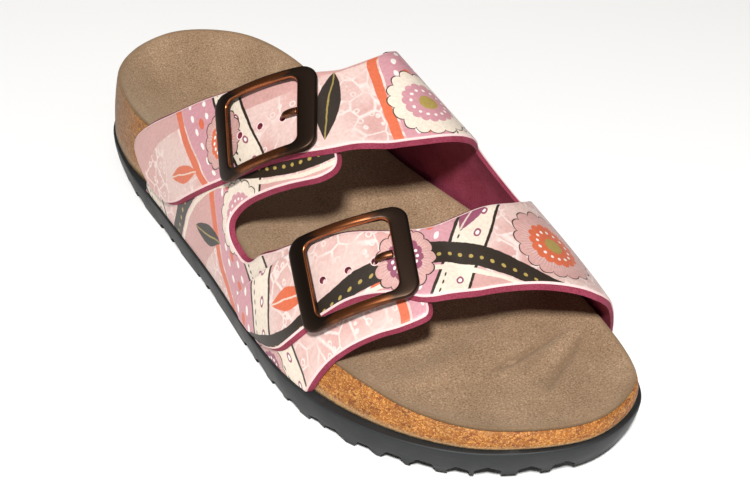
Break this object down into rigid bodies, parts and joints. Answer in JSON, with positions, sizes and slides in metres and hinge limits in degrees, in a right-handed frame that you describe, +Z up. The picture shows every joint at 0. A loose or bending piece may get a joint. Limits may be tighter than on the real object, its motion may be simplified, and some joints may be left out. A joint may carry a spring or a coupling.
{
  "type": "footbed sandal",
  "caption": "Open sandal with a moulded cork footbed on a lugged sole, wide printed leather straps across the foot and a metal buckle on each strap.",
  "frame": {"origin": "on the floor under the middle of the sandal's bounding box", "axes": "+Y from toe to heel, +X from the buckled outer side to the inner side, +Z up from the floor"},
  "size_m": [0.102, 0.2535, 0.0842],
  "materials": {
    "sole_rubber": "matte charcoal foam rubber, lightly scuffed",
    "cork": "sealed ground cork with pale and dark flecks",
    "suede": "taupe suede with a short nap",
    "strap_leather": "printed coated leather, satin, with burgundy edges and inside",
    "antique_copper": "dark antiqued copper, rubbed bright at the edges"
  },
  "bodies": {
    "root": {"outsole": "sole_rubber", "footbed": "cork", "footbed_lining": "suede", "upper_straps": "strap_leather", "upper_quarter": "strap_leather", "buckle_frame_rear": "antique_copper", "buckle_frame_front": "antique_copper", "buckle_pin_rear": "antique_copper", "buckle_pin_front": "antique_copper"}
  },
  "joints": []
}
